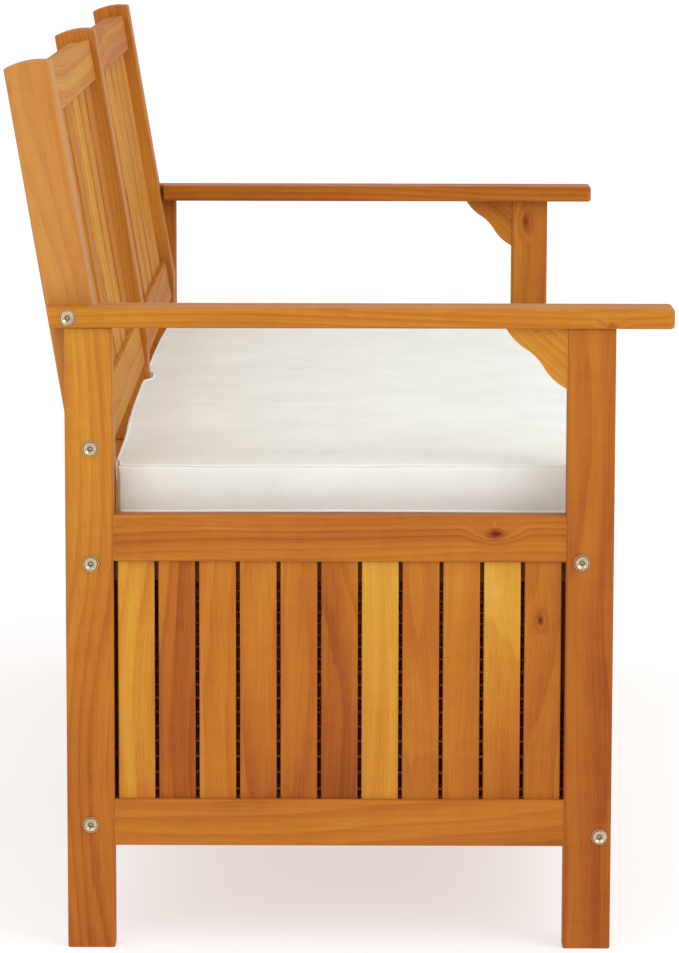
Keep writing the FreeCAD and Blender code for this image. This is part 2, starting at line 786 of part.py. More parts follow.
def make_long_sides(holes):
    """Front and rear: a grooved top rail and bottom rail, a centre stile, and slats in each half."""
    length = "2 * %s" % LEG_IN
    half = "(%s - stile_width / 2)" % LEG_IN
    rails = {
        "rear": ("0", "rear_rail_depth", "rear_low_start", "rear_low_bottom"),
        "front": ("front_rail_start", "front_rail_depth", "front_low_start", "front_low_bottom"),
    }
    for where, (top_start, top_depth, low_start, low_bottom) in rails.items():
        slat_start = "(%s + (low_rail_depth - slat_thick) / 2)" % low_start
        groove = "%s - groove_play / 2" % slat_start
        top = timber(where + "_top_rail", length, top_depth, "seat_rail_tall", "x",
                     ("%s - (%s)" % (groove, top_start), "bottom"))
        place(top, "-%s" % LEG_IN, top_start, "seat_rail_top - seat_rail_tall")
        drilled(where + "_top_rail", top, holes)
        low = timber(where + "_bottom_rail", length, "low_rail_depth", "low_rail_tall", "x",
                     ("%s - (%s)" % (groove, low_start), "top"))
        drilled(where + "_bottom_rail", place(low, "-%s" % LEG_IN, low_start, low_bottom), holes)

        low_top = "(%s + low_rail_tall)" % low_bottom
        opening = "(seat_rail_top - seat_rail_tall - %s)" % low_top
        stile = timber(where + "_stile", "stile_width", "low_rail_depth", opening, "z")
        keep(place(stile, "-stile_width / 2", low_start, low_top), where + "_stile")

        width = "((%s - (long_slat_count + 1) * long_slat_gap) / long_slat_count)" % half
        slat = timber(where + "_slat", width, "slat_thick", opening + " + 2 * groove_deep", "z",
                      radius="slat_round")
        places = []
        for number in range(SIZES["long_slat_count"]):
            x = "-%s + long_slat_gap + %d * (%s + long_slat_gap)" % (LEG_IN, number, width)
            places.append((x, slat_start, "%s - groove_deep" % low_top, UPRIGHT))
        left = copies(where + "_slats_left", slat, places)
        keep(both_sides(where + "_slats", left), where + "_slats")


def make_floor():
    """Slats laid front to back on a bearer along each bottom rail."""
    rear_face = "(rear_low_start + low_rail_depth)"
    for where, start in (("rear", rear_face), ("front", "front_low_start - floor_bearer_size")):
        bearer = timber("floor_bearer_" + where, "floor_bearer_length", "floor_bearer_size",
                        "floor_bearer_size", "x")
        place(bearer, "-floor_bearer_length / 2", start, "rear_low_bottom")
        keep(bearer, "floor_bearer_" + where)
    length = "front_low_start - %s - 2 * floor_slat_play" % rear_face
    slat = timber("floor_slat", "floor_slat_width", length, "slat_thick", "y", radius="slat_round")
    pitch = "(floor_span - floor_slat_width) / (floor_slat_count - 1)"
    places = []
    for number in range(SIZES["floor_slat_count"]):
        x = "-floor_span / 2 + %d * %s" % (number, pitch)
        places.append((x, "%s + floor_slat_play" % rear_face, "rear_low_bottom + floor_bearer_size", UPRIGHT))
    keep(copies("floor_slats", slat, places), "floor_slats")


# ---------------------------------------------------------------- seat, lid and hinges

def make_seat(paths):
    """Three bearers between the long rails, a fixed slat behind the lid and a fixed strip at each end."""
    length = "front_rail_start - rear_rail_depth"
    height = "seat_rail_top - seat_rail_tall"
    for label, x in (("seat_bearer_middle", "-bearer_width / 2"), ("seat_bearer", "-%s" % LEG_IN)):
        bearer = timber(label, "bearer_width", length, "seat_rail_tall", "y")
        place(bearer, x, "rear_rail_depth", height)
        if label.endswith("middle"):
            drilled(label, bearer, paths["bearer"])
        else:
            drilled_pair(label, bearer, paths["bearer"])

    slat = timber("rear_seat_slat", "seat_length", "rear_seat_slat_end - rear_seat_slat_start",
                  "seat_board", "x")
    place(slat, "-seat_length / 2", "rear_seat_slat_start", "seat_rail_top")
    drilled("rear_seat_slat", slat, paths["board"])

    strip_long = "front_rail_start + front_rail_depth - rear_seat_slat_end - 1"
    strip = timber("seat_end_strip", "end_strip_width", strip_long, "seat_board", "y")
    place(strip, "-seat_length / 2", "rear_seat_slat_end + 1", "seat_rail_top")
    strips = both_sides("seat_end_strips_blank", strip)
    drilled("seat_end_strips", strips, paths["board"])


def make_lid(holes):
    width = "%s - lid_slat_gap" % LID_PITCH
    for number in range(SIZES["lid_slat_count"]):
        label = "lid_slat_%d" % (number + 1)
        slat = timber(label, "lid_length", width, "seat_board", "x")
        place(slat, "-lid_length / 2", lid_slat_start(number), "seat_rail_top")
        drilled(label, slat, holes)
    batten = timber("lid_batten", "batten_width", "batten_end - batten_start", "batten_thick", "y")
    places = [("-%s - batten_width / 2" % x, "batten_start", BATTEN_UNDERSIDE, UPRIGHT)
              for x in ("batten_outer", "batten_inner")]
    battens = both_sides("lid_battens_blank", copies("lid_battens_left", batten, places))
    drilled("lid_battens", battens, holes)


def make_leaf(side):
    """A hinge leaf: a plate on the edge of its board, and every other knuckle of the barrel.

    Its origin is on the hinge axis, at the left end of the barrel.
    """
    body = new_body("hinge_leaf_" + side)
    reach = "(hinge_depth - rear_seat_slat_end)" if side == "fixed" else "(lid_start - hinge_depth)"
    plate_y = "%s - leaf_thick" % reach if side == "fixed" else "-%s" % reach
    add_box(body, "hinge_length", "leaf_thick", "leaf_shoulder - leaf_bottom", 0, plate_y,
            "leaf_bottom - %s" % SEAT_TOP)
    pitch = "hinge_length / knuckle_count"
    first = 0 if side == "fixed" else 1
    for number in range(first, SIZES["knuckle_count"], 2):
        start = "%d * %s + knuckle_play / 2" % (number, pitch)
        long = "%s - knuckle_play" % pitch
        add_box(body, long, "leaf_thick", "%s - leaf_shoulder + overlap" % SEAT_TOP, start, plate_y,
                "leaf_shoulder - %s - overlap" % SEAT_TOP)
        add_cylinder(body, "barrel_radius", long, start, turn=ALONG_X)
        bore = "pin_radius + pin_play"
        add_cylinder(body, bore, "%s + 2 * overcut" % long, "%s - overcut" % start, turn=ALONG_X, cut=True)
    for offset in ("- leaf_screw_spacing", "", "+ leaf_screw_spacing"):
        add_cylinder(body, "screw_radius + hole_play", "3 * leaf_thick", "hinge_length / 2 %s" % offset,
                     "%s - leaf_thick" % plate_y, "leaf_screw_height - %s" % SEAT_TOP, ALONG_Y, cut=True)
    doc.recompute()
    return body


def make_hinges():
    """Three butt hinges, their axis level with the top of the seat boards."""
    corner = "hinge_length / 2"
    left = [("-hinge_spacing - %s" % corner, "hinge_depth", SEAT_TOP, UPRIGHT)]
    middle = [("-%s" % corner, "hinge_depth", SEAT_TOP, UPRIGHT)]
    pin = new_body("hinge_pin")
    add_cylinder(pin, "pin_radius", "hinge_length", turn=ALONG_X)
    doc.recompute()
    pieces = {"hinge_leaves_fixed": make_leaf("fixed"), "hinge_leaves_moving": make_leaf("moving"),
              "hinge_pins": pin}
    for label, master in pieces.items():
        middle_group = copies(label + "_middle", master, middle)
        keep(both_sides(label, copies(label + "_left", master, left), middle_group), label)


def make_fasteners():
    bolts = copies("bolts_left", make_bolt(), bolt_places())
    keep(both_sides("frame_bolts", bolts), "frame_bolts")
    nuts = copies("nuts_left", make_nut(), nut_places())
    keep(both_sides("barrel_nuts", nuts), "barrel_nuts")
    dowel = make_dowel()
    dowels = copies("dowels_left", dowel, dowel_places_left())
    dowels_middle = copies("dowels_middle", dowel, dowel_places_middle())
    keep(both_sides("wood_dowels", dowels, dowels_middle), "wood_dowels")
    screw = make_screw("screw_master", "screw_length", "screw_head_thick")
    sunk = "screw_head_thick"
    seat = copies("seat_screws_left", screw, seat_screw_places(sunk))
    seat_middle = copies("seat_screws_middle", screw, seat_screw_middle(sunk))
    keep(both_sides("seat_screws", seat, seat_middle), "seat_screws")
    keep(both_sides("lid_screws", copies("lid_screws_left", screw, lid_screw_places(sunk))), "lid_screws")
    leaf_screw = make_screw("leaf_screw_master", "leaf_screw_length", "leaf_screw_head_thick")
    for side in ("fixed", "moving"):
        label = "hinge_screws_" + side
        left = copies(label + "_left", leaf_screw, leaf_screw_places("-hinge_spacing", side))
        middle = copies(label + "_middle", leaf_screw, leaf_screw_places("0", side))
        keep(both_sides(label, left, middle), label)


def make_cushion():
    """A plain closed solid of the cushion's outer size."""
    body = new_body("cushion")
    depth = "(cushion_end - cushion_start)"
    add_box(body, "cushion_length", depth, "cushion_thick", 0, "-%s" % depth)
    doc.recompute()
    rounded = ease(body, ["Edge1"], "cushion_round")
    rounded.UseAllEdges = True
    place(body, "-cushion_length / 2", "cushion_start", "cushion_bottom")
    keep(body, "cushion")


# ---------------------------------------------------------------- build, check and write

def check_and_write():
    doc.recompute()
    for thing in doc.Objects:
        if "Invalid" in thing.State or "Error" in thing.State:
            raise RuntimeError("%s failed: %s" % (thing.Label, thing.State))
    for node in nodes:
        if node.Shape.isNull() or not node.Shape.isValid() or not node.Shape.Solids:
            raise RuntimeError("%s has no valid solid" % node.Label)
    os.makedirs("parts", exist_ok=True)
    for node in nodes:
        node.Shape.exportStep("parts/%s.step" % node.Label)
    print("%d nodes, %d solids" % (len(nodes), sum(len(node.Shape.Solids) for node in nodes)))


def build():
    fill_sheet()
    paths = drill_paths()
    make_legs(paths["frame"])
    make_armrests(paths["frame"])
    make_brackets()
    make_end_panels(paths["frame"])
    make_posts(paths["frame"])
    make_back_panels(paths["frame"])
    make_long_sides(paths["frame"])
    make_floor()
    make_seat(paths)
    make_lid(paths["board"])
    make_hinges()
    make_fasteners()
    make_cushion()
    check_and_write()


build()
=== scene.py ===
"""A garden storage bench: oiled acacia, yellow-zinc bolts and one cream seat cushion."""
import itertools
import math

import bmesh
import bpy
from mathutils import Matrix, Vector, noise
from mathutils.bvhtree import BVHTree
from mathutils.kdtree import KDTree


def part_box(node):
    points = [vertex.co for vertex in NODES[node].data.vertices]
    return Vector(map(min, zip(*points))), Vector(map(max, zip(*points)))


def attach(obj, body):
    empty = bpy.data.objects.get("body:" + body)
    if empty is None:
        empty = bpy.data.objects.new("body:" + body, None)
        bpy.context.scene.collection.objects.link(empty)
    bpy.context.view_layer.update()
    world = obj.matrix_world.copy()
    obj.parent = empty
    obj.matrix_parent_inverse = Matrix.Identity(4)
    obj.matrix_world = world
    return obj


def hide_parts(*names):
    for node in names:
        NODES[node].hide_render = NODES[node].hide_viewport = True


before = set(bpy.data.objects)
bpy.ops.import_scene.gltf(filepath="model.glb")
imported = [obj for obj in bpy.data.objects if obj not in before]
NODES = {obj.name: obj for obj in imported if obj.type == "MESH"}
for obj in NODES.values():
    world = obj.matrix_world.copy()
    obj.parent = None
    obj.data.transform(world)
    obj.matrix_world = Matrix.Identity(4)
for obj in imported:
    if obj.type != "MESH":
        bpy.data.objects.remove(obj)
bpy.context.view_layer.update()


# ---------------------------------------------------------------- colours and node trees

def linear(code):
    """A colour written as #RRGGBB, as linear values for a shader."""
    channels = [int(code[i:i + 2], 16) / 255 for i in (1, 3, 5)]
    return [c / 12.92 if c <= 0.04045 else ((c + 0.055) / 1.055) ** 2.4 for c in channels] + [1.0]


class Graph:
    """A material's node tree, with short calls that add a node and join it up."""

    def __init__(self, name):
        self.material = bpy.data.materials.new(name)
        self.material.use_nodes = True
        self.tree = self.material.node_tree
        self.shader = self.tree.nodes["Principled BSDF"]

    def put(self, socket, value):
        if isinstance(value, bpy.types.NodeSocket):
            self.tree.links.new(value, socket)
        elif value is not None:
            socket.default_value = value

    def add(self, kind, *inputs, **settings):
        made = self.tree.nodes.new("ShaderNode" + kind)
        for key, setting in settings.items():
            setattr(made, key, setting)
        for socket, value in zip(made.inputs, inputs):
            self.put(socket, value)
        return made

    def sum(self, operation, a, b=None, c=None):
        return self.add("Math", a, b, c, operation=operation).outputs[0]

    def vector(self, operation, a, b=None):
        made = self.add("VectorMath", a, b, operation=operation)
        return made.outputs["Value" if operation in ("LENGTH", "DOT_PRODUCT") else "Vector"]

    def split(self, vector):
        return list(self.add("SeparateXYZ", vector).outputs)

    def join(self, x, y, z):
        return self.add("CombineXYZ", x, y, z).outputs[0]

    def level(self, value, low, high, to_low=0.0, to_high=1.0, soft=True):
        """value moved from the range low..high to to_low..to_high, and held there beyond its ends."""
        kind = "SMOOTHSTEP" if soft else "LINEAR"
        return self.add("MapRange", value, low, high, to_low, to_high, interpolation_type=kind).outputs[0]

    def mix(self, factor, a, b, blend="MIX"):
        made = self.tree.nodes.new("ShaderNodeMix")
        made.data_type, made.blend_type = "RGBA", blend
        for index, value in ((0, factor), (6, a), (7, b)):
            self.put(made.inputs[index], value)
        return made.outputs[2]

    def noise(self, vector, scale, detail=2.0, rough=0.5, flat=False):
        """A cloud of values about 0.5. With flat, vector is one number and the cloud runs along a line."""
        made = self.tree.nodes.new("ShaderNodeTexNoise")
        made.noise_dimensions = "1D" if flat else "3D"
        self.put(made.inputs["W" if flat else "Vector"], vector)
        self.put(made.inputs["Scale"], scale)
        self.put(made.inputs["Detail"], detail)
        self.put(made.inputs["Roughness"], rough)
        return made.outputs[0]

    def stretched(self, vector, cells, detail=2.0, rough=0.5):
        """A cloud of values about 0.5 with its own number of cells in a metre along each axis."""
        return self.noise(self.vector("MULTIPLY", vector, cells), 1.0, detail, rough)

    def ramp(self, value, stops, steps=False):
        """A colour for each value. stops = (value, colour), and with steps each colour holds to the next."""
        made = self.add("ValToRGB", value)
        ramp = made.color_ramp
        ramp.interpolation = "CONSTANT" if steps else "LINEAR"
        while len(ramp.elements) < len(stops):
            ramp.elements.new(0.5)
        for element, (place, colour) in zip(ramp.elements, stops):
            element.position, element.color = place, colour
        return made.outputs[0]

    def bump(self, height, depth, strength):
        made = self.tree.nodes.new("ShaderNodeBump")
        self.put(made.inputs["Strength"], strength)
        self.put(made.inputs["Distance"], depth)
        self.put(made.inputs["Height"], height)
        self.put(self.shader.inputs["Normal"], made.outputs[0])

    def finish(self, colour, roughness):
        self.put(self.shader.inputs["Base Color"], colour)
        self.put(self.shader.inputs["Roughness"], roughness)
        return self.material


# ---------------------------------------------------------------- acacia

PALETTE = [(0.0, "#55200A"), (0.25, "#994C13"), (0.5, "#B56D1E"), (0.75, "#C88F2E"), (1.0, "#DCB35E")]
# the pores' brown, the tan of the painted edge highlight and the tan of the painted sheen
PORE_BROWN, EDGE_HIGHLIGHT_TAN, PAINTED_SHEEN_TAN = "#3C1406", "#DBB46E", "#CA995F"
AXES = {"X": 0, "Y": 1, "Z": 2}

# the marks of a log that grows along Z: cells in a metre along each axis, detail and roughness
WANDER = ((34.0, 34.0, 2.6), 2.0, 0.5)
FIBRES = ((520.0, 520.0, 7.0), 3.0, 0.6)
CLOUDS = ((26.0, 26.0, 5.0), 2.0, 0.5)
RIPPLE = ((18.0, 18.0, 75.0), 1.0, 0.5)
PORES = ((1250.0, 1250.0, 42.0), 1.0, 0.5)

LOG_LENGTH = 9.0       # how far apart along the log boards may be cut
LOG_ACROSS = 0.16      # how far apart across it
LOG_DEPTH = 0.10       # how far apart in depth,
HEART_DEPTH = 0.02     # which is counted from here
HEART_WANDER = 0.03    # how far the heart moves to and fro along the log
RING_WANDER = 0.008    # how far the growth rings do
RINGS = 210.0          # growth rings in a metre of radius
KNOT_SQUASH = 0.55     # a knot's width as a share of its length along the grain
KNOT_RAGGED = 0.003    # how uneven its edge is
KNOT_SWIRL, KNOT_SWIRL_REACH = 2.2, 4.5    # how far it bends the rings, and how far out, in its own radius
KNOT_DISCS = ((1.6, 0.8, 0.45), (0.75, 0.3, 0.55))    # where it begins and is full, and share of its colour
STREAK_TONE, CLOUD_TONE = 1.9, 0.9    # how far the marks move the tone, these two times figure
FIBRE_TONE, RIPPLE_TONE = 0.24, 0.07
LATE_WOOD_TONE, END_GRAIN_TONE = -0.09, -0.12
BENCH_TONE_TOP = 0.6   # height at which rise has lightened the wood in full
EDGE_HIGHLIGHT_REACH = 0.0022     # reach of the painted highlight along the edges
MIRROR_STEP = 50.0     # added to board numbers on the right, and taken from those on the left
SEED_STEP = 7.31


def wood(name, grain, tone, spread, seed, boards=None, turn=0.0, figure=0.2, rows=None, knots=(),
         rise=0.0, veil=0.0, gloss=0.16):
    """Oiled acacia cut from a log along grain, an axis.

    tone is how light and golden the wood is, from 0 to 1, and spread how far the tones of boards differ.
    boards = (axis, first edge, pitch, mirrored) gives each board of a node its own piece of log.
    rows gives each board, in order, its tone at the first edge and at the second edge, and its own rise.
    rise is how much lighter the top of the wood is than its bottom. A board of rows is also lightened over
    its own height by what its rise is beyond 0.5.
    turn leans the grain, in degrees about X, and figure is the strength of the streaks and clouds.
    knots = (x, y, z, radius, depth of colour).
    How far the colour is paled to tan is a painted sheen, and gloss is the specular level."""
    g = Graph(name)
    coordinates = g.add("TexCoord")
    place, normal = coordinates.outputs["Object"], coordinates.outputs["Normal"]
    x, y, z = g.split(place)
    number, inside = 0.0, 0.5
    if boards:
        axis, start, pitch, mirrored = boards
        along = (x, y, z)[AXES[axis]]
        from_start = g.sum("SUBTRACT", g.sum("ABSOLUTE", along) if mirrored else along, start)
        steps = g.sum("DIVIDE", from_start, pitch)
        inside = g.sum("FRACT", steps)
        number = g.sum("FLOOR", steps)
        if mirrored:
            number = g.sum("ADD", number, g.sum("MULTIPLY", g.sum("SIGN", along), MIRROR_STEP))
    chance = g.add("TexWhiteNoise", None, g.sum("ADD", number, seed * SEED_STEP), noise_dimensions="1D")
    chance_1, chance_2, chance_3 = g.split(chance.outputs["Color"])

    if turn:
        place, normal = (g.add("VectorRotate", way, None, None, math.radians(turn),
                               rotation_type="X_AXIS").outputs[0] for way in (place, normal))
    parts = g.split(place)
    length = parts.pop(AXES[grain])
    across, depth = parts
    end_grain = g.level(g.sum("ABSOLUTE", g.split(normal)[AXES[grain]]), 0.75, 0.95)

    # each board is cut at its own place in its own log, whose heart wanders along it
    far = g.sum("MULTIPLY_ADD", chance_3, LOG_LENGTH, length)
    sway_1 = g.noise(far, 1.6, 1.0, flat=True)
    sway_2 = g.noise(g.sum("ADD", far, 31.7), 1.9, 1.0, flat=True)
    heart_1 = g.sum("MULTIPLY_ADD", sway_1, HEART_WANDER, -HEART_WANDER / 2)
    heart_2 = g.sum("MULTIPLY_ADD", sway_2, HEART_WANDER, -HEART_WANDER / 2)
    cut_1 = g.sum("MULTIPLY_ADD", chance_1, LOG_ACROSS, -LOG_ACROSS / 2)
    cut_2 = g.sum("MULTIPLY_ADD", chance_2, LOG_DEPTH, HEART_DEPTH)
    part_1 = g.sum("ADD", g.sum("ADD", across, heart_1), cut_1)
    part_2 = g.sum("ADD", g.sum("ADD", depth, heart_2), cut_2)
    tree_place = g.join(part_1, part_2, far)

    dark_knots, swirl = 0.0, 0.0
    squash = [1.0, 1.0, 1.0]
    squash[AXES[grain]] = KNOT_SQUASH
    for knot_x, knot_y, knot_z, radius, strength in knots:
        away = g.vector("SUBTRACT", coordinates.outputs["Object"], (knot_x, knot_y, knot_z))
        reach = g.vector("LENGTH", g.vector("MULTIPLY", away, squash))
        ragged = g.sum("MULTIPLY_ADD", g.noise(place, 260.0, 1.0), KNOT_RAGGED, -KNOT_RAGGED / 2)
        reach = g.sum("ADD", reach, ragged)
        near = g.level(reach, radius * KNOT_SWIRL_REACH, 0.0)
        swirl = g.sum("MULTIPLY_ADD", near, radius * KNOT_SWIRL, swirl)
        for edge, middle, share in KNOT_DISCS:
            disc = g.level(reach, radius * edge, radius * middle)
            dark_knots = g.sum("MULTIPLY_ADD", disc, strength * share, dark_knots)

    wander = g.stretched(tree_place, *WANDER)
    round_heart = g.vector("LENGTH", g.join(part_1, part_2, 0.0))
    radius_here = g.sum("ADD", g.sum("MULTIPLY_ADD", wander, RING_WANDER, round_heart), swirl)

    streaks = g.noise(radius_here, 75.0, 2.0, 0.55, flat=True)
    rings = g.sum("FRACT", g.sum("MULTIPLY_ADD", streaks, 1.5, g.sum("MULTIPLY", radius_here, RINGS)))
    late_wood = g.sum("MULTIPLY", g.level(rings, 0.35, 0.9), g.level(rings, 1.0, 0.93))
    fibres = g.stretched(tree_place, *FIBRES)
    clouds = g.stretched(tree_place, *CLOUDS)
    ripple = g.stretched(tree_place, *RIPPLE)
    pores = g.level(g.stretched(tree_place, *PORES), 0.62, 0.74)

    tone_here = g.sum("MULTIPLY_ADD", chance_1, spread * 2, tone - spread)
    if rows:
        stops = [(i / len(rows), (*row, 1)) for i, row in enumerate(rows)]
        board = g.sum("DIVIDE", g.sum("ADD", number, 0.5), len(rows))
        first, second, rise = g.split(g.ramp(board, stops, True))
        # the change from a board's first tone to its second wanders along it
        blend = g.level(g.sum("MULTIPLY_ADD", wander, 0.5, g.sum("SUBTRACT", inside, 0.25)), 0.2, 0.75)
        tone_here = g.sum("MULTIPLY_ADD", blend, g.sum("SUBTRACT", second, first), first)
        low, high = (limit.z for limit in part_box(rows_of[name]))
        up_board = g.level(z, low + 0.02, high - 0.05, -0.5, 0.5)
        tone_here = g.sum("ADD", tone_here, g.sum("MULTIPLY", up_board, g.sum("SUBTRACT", rise, 0.5)))
    if rows or rise:
        up_bench = g.level(z, 0.0, BENCH_TONE_TOP, -0.5, 0.5, False)
        tone_here = g.sum("MULTIPLY_ADD", up_bench, rise, tone_here)
    for value, amount in ((streaks, figure * STREAK_TONE), (clouds, figure * CLOUD_TONE),
                          (fibres, FIBRE_TONE), (ripple, RIPPLE_TONE)):
        tone_here = g.sum("MULTIPLY_ADD", g.sum("SUBTRACT", value, 0.5), amount, tone_here)
    tone_here = g.sum("MULTIPLY_ADD", late_wood, LATE_WOOD_TONE, tone_here)
    tone_here = g.sum("MULTIPLY_ADD", end_grain, END_GRAIN_TONE, tone_here)
    if knots:
        tone_here = g.sum("SUBTRACT", tone_here, dark_knots)

    colour = g.ramp(tone_here, [(stop, linear(code)) for stop, code in PALETTE])
    # painted sheen: the colour is paled to tan in soft clouds, as a reflection would pale it
    if veil:
        colour = g.mix(g.level(clouds, 0.2, 0.8, veil * 0.8, veil * 1.2), colour, linear(PAINTED_SHEEN_TAN))
    colour = g.mix(g.sum("MULTIPLY", pores, 0.15), colour, linear(PORE_BROWN))
    # painted highlight: rounded edges found by the bevel mask are lightened to tan, broken up by the fibres
    edge = g.add("Bevel", EDGE_HIGHLIGHT_REACH, samples=4)
    sharp = g.vector("DOT_PRODUCT", edge.outputs[0], g.add("NewGeometry").outputs["Normal"])
    edge_highlight = g.sum("MULTIPLY", g.level(sharp, 0.995, 0.80), g.level(fibres, 0.3, 0.6, 0.35, 1.0))
    colour = g.mix(g.sum("MULTIPLY", edge_highlight, 0.25), colour, linear(EDGE_HIGHLIGHT_TAN))

    rough = g.sum("MULTIPLY_ADD", fibres, 0.22, 0.40)
    rough = g.sum("MULTIPLY_ADD", pores, 0.15, rough)
    height = g.sum("MULTIPLY_ADD", fibres, 0.9, g.sum("MULTIPLY", late_wood, -0.15))
    height = g.sum("MULTIPLY_ADD", pores, -0.8, height)
    g.bump(height, 0.0004, 0.35)
    g.shader.inputs["Specular IOR Level"].default_value = gloss
    return g.finish(colour, rough)


def boards_along(node, axis, count):
    """Board numbers for a node of count boards side by side along an axis."""
    low, high = (limit[AXES[axis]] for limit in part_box(node))
    hair = 0.0004
    return (axis, low - hair, (high - low + 2 * hair) / count, False)


def dress(material, *names):
    """Gives CAD nodes one material and no other."""
    for name in names:
        NODES[name].data.materials.clear()
        NODES[name].data.materials.append(material)
        NODES[name].material_slots[0].material = material


LEAN = 9.6                       # degrees by which the back leans
BRACKET_GRAIN = -40.0            # degrees, so that a bracket's grain runs along its slope
BACK_GLOSS = 0.03                # for the back's rails and slats, which are seen at a low angle
HALF_SLATS = (0.0225, 0.0402)    # a centre stile's side, and the pitch of the slats beyond it
rows_of = {}                     # the node that each material with rows is for

# the end panel nearest the camera has its own run of tones, from the rear leg to the front leg
NEAR_ROWS = [
    (0.58, 0.80, 0.42), (0.30, 0.45, 0.47), (0.50, 0.48, 0.40), (0.46, 0.50, 0.50),
    (0.50, 0.55, 0.48), (0.46, 0.39, 0.50), (0.73, 0.71, 0.48), (0.50, 0.50, 0.42),
    (0.39, 0.46, 0.42), (0.62, 0.62, 0.68), (0.47, 0.43, 0.38)]


def wooden_parts():
    """A log and a tone for every wooden piece. Knots are placed on the bench, in metres."""
    seeds = itertools.count(1)

    def single(node, grain, tone, **more):
        dress(wood("acacia_" + node, grain, tone, 0.03, next(seeds), **more), node)

    def several(node, grain, tone, spread, boards, **more):
        dress(wood("acacia_" + node, grain, tone, spread, next(seeds), boards=boards, **more), node)

    far_knot = [(0.710, -0.232, 0.566, 0.0042, 0.32)]
    for node, tone, rise, knots in (
            ("leg_front_left", 0.42, 0.12, ()), ("leg_rear_left", 0.50, 0.28, ()),
            ("leg_front_right", 0.46, 0.1, far_knot), ("leg_rear_right", 0.50, 0.1, ())):
        single(node, "Z", tone, figure=0.20, rise=rise, knots=knots)
    single("armrest_left", "Y", 0.55, figure=0.16, gloss=0.12,
           knots=[(-0.740, -0.254, 0.5965, 0.0026, 0.26)])
    single("armrest_right", "Y", 0.46, figure=0.20, gloss=0.12)
    for node, tone in (("armrest_bracket_left", 0.66), ("armrest_bracket_right", 0.48)):
        single(node, "Y", tone, turn=BRACKET_GRAIN, figure=0.14)
    # the nearest post carries the most painted sheen
    for node, tone, veil in (("back_post_left", 0.58, 0.28), ("back_post_middle", 0.52, 0.05),
                             ("back_post_right", 0.50, 0.0)):
        single(node, "Z", tone, turn=LEAN, figure=0.12, veil=veil)
    for node, tone in (("back_top_rail_left", 0.62), ("back_top_rail_right", 0.54),
                       ("back_lower_rail_left", 0.62), ("back_lower_rail_right", 0.54)):
        single(node, "X", tone, figure=0.20, gloss=BACK_GLOSS)
    for node in ("back_slats_left", "back_slats_right"):
        several(node, "Z", 0.62, 0.14, boards_along(node, "X", 6), turn=LEAN, figure=0.32,
                gloss=BACK_GLOSS)
    single("end_top_rail_left", "Y", 0.43, figure=0.24, knots=[(-0.7325, -0.1477, 0.399, 0.0046, 0.42)])
    single("end_bottom_rail_left", "Y", 0.47, figure=0.20)
    single("end_top_rail_right", "Y", 0.48)
    single("end_bottom_rail_right", "Y", 0.50)
    rows_of["acacia_end_slats_left"] = "end_slats_left"
    several("end_slats_left", "Z", 0.5, 0.0, boards_along("end_slats_left", "Y", 11), rows=NEAR_ROWS[::-1],
            figure=0.24, knots=[(-0.729, -0.190, 0.3165, 0.0027, 0.5)])
    several("end_slats_right", "Z", 0.5, 0.20, boards_along("end_slats_right", "Y", 11))
    for node, tone in (
            ("front_top_rail", 0.50), ("front_bottom_rail", 0.47), ("rear_top_rail", 0.52),
            ("rear_bottom_rail", 0.46), ("floor_bearer_front", 0.5), ("floor_bearer_rear", 0.45)):
        single(node, "X", tone)
    for node in ("front_stile", "rear_stile"):
        single(node, "Z", 0.5)
    for node in ("front_slats", "rear_slats"):
        several(node, "Z", 0.52, 0.20, ("X", *HALF_SLATS, True))
    several("floor_slats", "Y", 0.50, 0.16, boards_along("floor_slats", "X", 19))
    for node in ("seat_bearer_left", "seat_bearer_middle", "seat_bearer_right"):
        single(node, "Y", 0.5)
    single("rear_seat_slat", "X", 0.45)
    several("seat_end_strips", "Y", 0.3, 0.05, boards_along("seat_end_strips", "X", 2))
    for number in range(1, 7):
        single(f"lid_slat_{number}", "X", 0.40 + 0.07 * (number * 5 % 4))
    several("lid_battens", "Y", 0.46, 0.10, boards_along("lid_battens", "X", 4))


# ---------------------------------------------------------------- metal, dowels

# reach and colour of the painted shade, an ambient occlusion mask that darkens hollows and contacts
PAINTED_SHADE_REACH, PAINTED_SHADE_BROWN = 0.008, "#33281B"


def metal(name, light, dark, roughness, nodes):
    """Plated steel with a faint mottle, fine wear lines along X, and painted shade in its hollows and where
    it meets the wood.
    """
    g = Graph(name)
    place = g.add("TexCoord").outputs["Object"]
    mottle = g.noise(place, 900.0, 3.0, 0.6)
    lines = g.stretched(place, (300.0, 4200.0, 4200.0), 2.0, 0.6)
    mixed = g.sum("MULTIPLY_ADD", lines, 0.4, g.sum("MULTIPLY", mottle, 0.6))
    colour = g.ramp(mixed, [(0.3, linear(dark)), (0.7, linear(light))])
    # painted shade: brown is mixed in where ambient occlusion finds hollows or wood close by
    painted_shade = g.level(g.add("AmbientOcclusion", None, PAINTED_SHADE_REACH, samples=8).outputs["AO"], 0.96, 0.65)
    colour = g.mix(g.sum("MULTIPLY", painted_shade, 0.9), colour, linear(PAINTED_SHADE_BROWN))
    g.bump(mixed, 0.0001, 0.2)
    g.shader.inputs["Metallic"].default_value = 1.0
    dress(g.finish(colour, g.sum("MULTIPLY_ADD", mixed, 0.24, roughness - 0.12)), *nodes)


